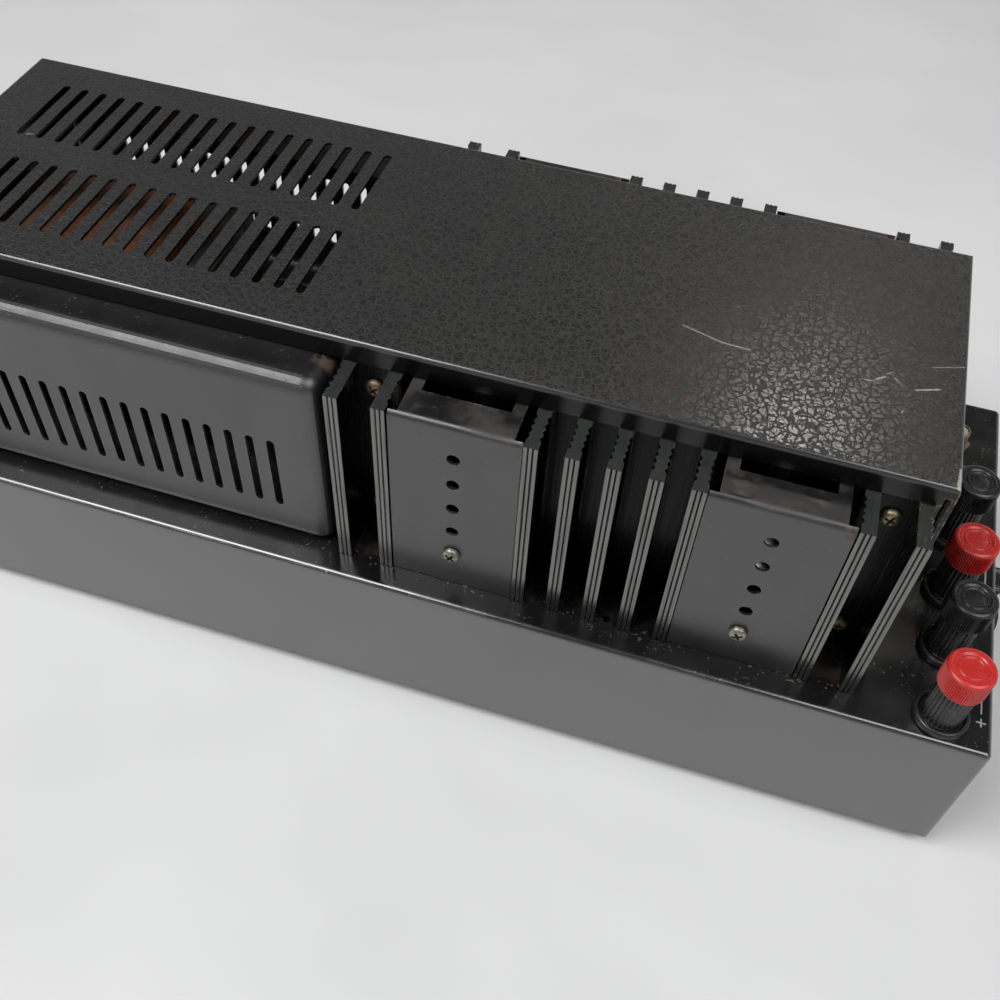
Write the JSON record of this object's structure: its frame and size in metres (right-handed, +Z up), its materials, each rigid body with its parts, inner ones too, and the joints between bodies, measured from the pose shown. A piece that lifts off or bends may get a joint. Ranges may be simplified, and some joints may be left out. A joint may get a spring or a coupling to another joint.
{
  "type": "power amplifier",
  "caption": "Narrow deep stereo power amplifier: folded chassis, slotted centre tower, finned heat sinks and vented covers along the flanks, screw speaker terminals on the rear ledge.",
  "frame": {"origin": "on the surface it stands on, under the middle of the overall box", "axes": "+X towards the rear end with the terminals, +Y towards the side with the input jacks, +Z up"},
  "size_m": [0.475, 0.183, 0.173],
  "materials": {
    "grained_paint": "black paint with a fine leather grain, semi-gloss",
    "satin_paint": "smooth satin black paint",
    "black_anodised": "black anodised extrusion",
    "zinc_plate": "tarnished yellow zinc",
    "plain_steel": "plain plated steel",
    "nickel_plate": "nickel plate",
    "black_plastic": "glossy black moulding",
    "red_plastic": "glossy red moulding",
    "rubber": "black rubber",
    "lamination": "varnished laminations",
    "coil_tape": "brown impregnated tape",
    "sleeve": "dark blue shrink sleeve",
    "board_laminate": "brown board laminate",
    "amber_lens": "amber lens"
  },
  "bodies": {
    "amplifier": {"chassis_pan": "satin_paint", "base_plate": "satin_paint", "foot_front_near": "rubber", "foot_front_far": "rubber", "foot_rear_near": "rubber", "foot_rear_far": "rubber", "top_cover": "grained_paint", "side_frame_near": "plain_steel", "side_frame_far": "plain_steel", "heat_sink_near": "black_anodised", "heat_sink_far": "black_anodised", "transistor_cover_near_front": "satin_paint", "transistor_cover_near_rear": "satin_paint", "transistor_cover_far_front": "satin_paint", "transistor_cover_far_rear": "satin_paint", "cover_screw_near_front": "zinc_plate", "cover_screw_near_rear": "zinc_plate", "cover_screw_far_front": "zinc_plate", "cover_screw_far_rear": "zinc_plate", "power_transistor_near_front": "nickel_plate", "power_transistor_near_rear": "nickel_plate", "power_transistor_far_front": "nickel_plate", "power_transistor_far_rear": "nickel_plate", "vent_cover_near": "satin_paint", "vent_cover_far": "satin_paint", "post_cup_1": "black_plastic", "post_cup_2": "black_plastic", "post_cup_3": "black_plastic", "post_cup_4": "black_plastic", "input_jack_left": "nickel_plate", "input_jack_right": "nickel_plate", "cord_gland": "rubber", "fuse_holder": "black_plastic", "switch_body": "black_plastic", "pilot_lamp": "amber_lens", "transformer_core": "lamination", "transformer_coil": "coil_tape", "transformer_bracket_front": "plain_steel", "transformer_bracket_rear": "plain_steel", "filter_capacitor_front": "sleeve", "filter_capacitor_rear": "sleeve", "capacitor_clamp": "plain_steel", "rectifier": "black_plastic", "driver_board_near": "board_laminate", "driver_board_far": "board_laminate"},
    "terminal_washer_1": {"post_washer_1": "nickel_plate"},
    "terminal_washer_2": {"post_washer_2": "nickel_plate"},
    "terminal_washer_3": {"post_washer_3": "nickel_plate"},
    "terminal_washer_4": {"post_washer_4": "nickel_plate"},
    "terminal_nut_1": {"post_barrel_1": "black_plastic", "post_cap_1": "red_plastic"},
    "terminal_nut_2": {"post_barrel_2": "black_plastic", "post_cap_2": "black_plastic"},
    "terminal_nut_3": {"post_barrel_3": "black_plastic", "post_cap_3": "red_plastic"},
    "terminal_nut_4": {"post_barrel_4": "black_plastic", "post_cap_4": "black_plastic"},
    "button": {"power_button": "black_plastic"},
    "fuse_knob": {"fuse_cap": "black_plastic"}
  },
  "joints": [
    {"name": "washer_lift_1", "type": "slide", "parent": "amplifier", "child": "terminal_washer_1", "axis": [0, 0, 1], "range_m": [0, 0.0048]},
    {"name": "washer_lift_2", "type": "slide", "parent": "amplifier", "child": "terminal_washer_2", "axis": [0, 0, 1], "range_m": [0, 0.0048]},
    {"name": "washer_lift_3", "type": "slide", "parent": "amplifier", "child": "terminal_washer_3", "axis": [0, 0, 1], "range_m": [0, 0.0048]},
    {"name": "washer_lift_4", "type": "slide", "parent": "amplifier", "child": "terminal_washer_4", "axis": [0, 0, 1], "range_m": [0, 0.0048]},
    {"name": "terminal_turn_1", "type": "hinge", "parent": "terminal_washer_1", "child": "terminal_nut_1", "pos_m": [0.2062, -0.0795, 0.0788], "axis": [0, 0, 1], "range_deg": [0, 2160]},
    {"name": "terminal_turn_2", "type": "hinge", "parent": "terminal_washer_2", "child": "terminal_nut_2", "pos_m": [0.2062, -0.049, 0.0788], "axis": [0, 0, 1], "range_deg": [0, 2160]},
    {"name": "terminal_turn_3", "type": "hinge", "parent": "terminal_washer_3", "child": "terminal_nut_3", "pos_m": [0.2062, -0.021, 0.0788], "axis": [0, 0, 1], "range_deg": [0, 2160]},
    {"name": "terminal_turn_4", "type": "hinge", "parent": "terminal_washer_4", "child": "terminal_nut_4", "pos_m": [0.2062, 0.0095, 0.0788], "axis": [0, 0, 1], "range_deg": [0, 2160]},
    {"name": "button_push", "type": "slide", "parent": "amplifier", "child": "button", "axis": [1, 0, 0], "range_m": [0, 0.0035], "stiffness_N_per_m": 200, "springref_m": -0.001},
    {"name": "fuse_turn", "type": "hinge", "parent": "amplifier", "child": "fuse_knob", "pos_m": [0.228, 0.0145, 0.048], "axis": [1, 0, 0], "range_deg": [0, 90]}
  ],
  "couplings": [
    {"joint": "terminal_turn_1", "follows": "washer_lift_1", "rad_per_m": 7853.9},
    {"joint": "terminal_turn_2", "follows": "washer_lift_2", "rad_per_m": 7853.9},
    {"joint": "terminal_turn_3", "follows": "washer_lift_3", "rad_per_m": 7853.9},
    {"joint": "terminal_turn_4", "follows": "washer_lift_4", "rad_per_m": 7853.9}
  ]
}
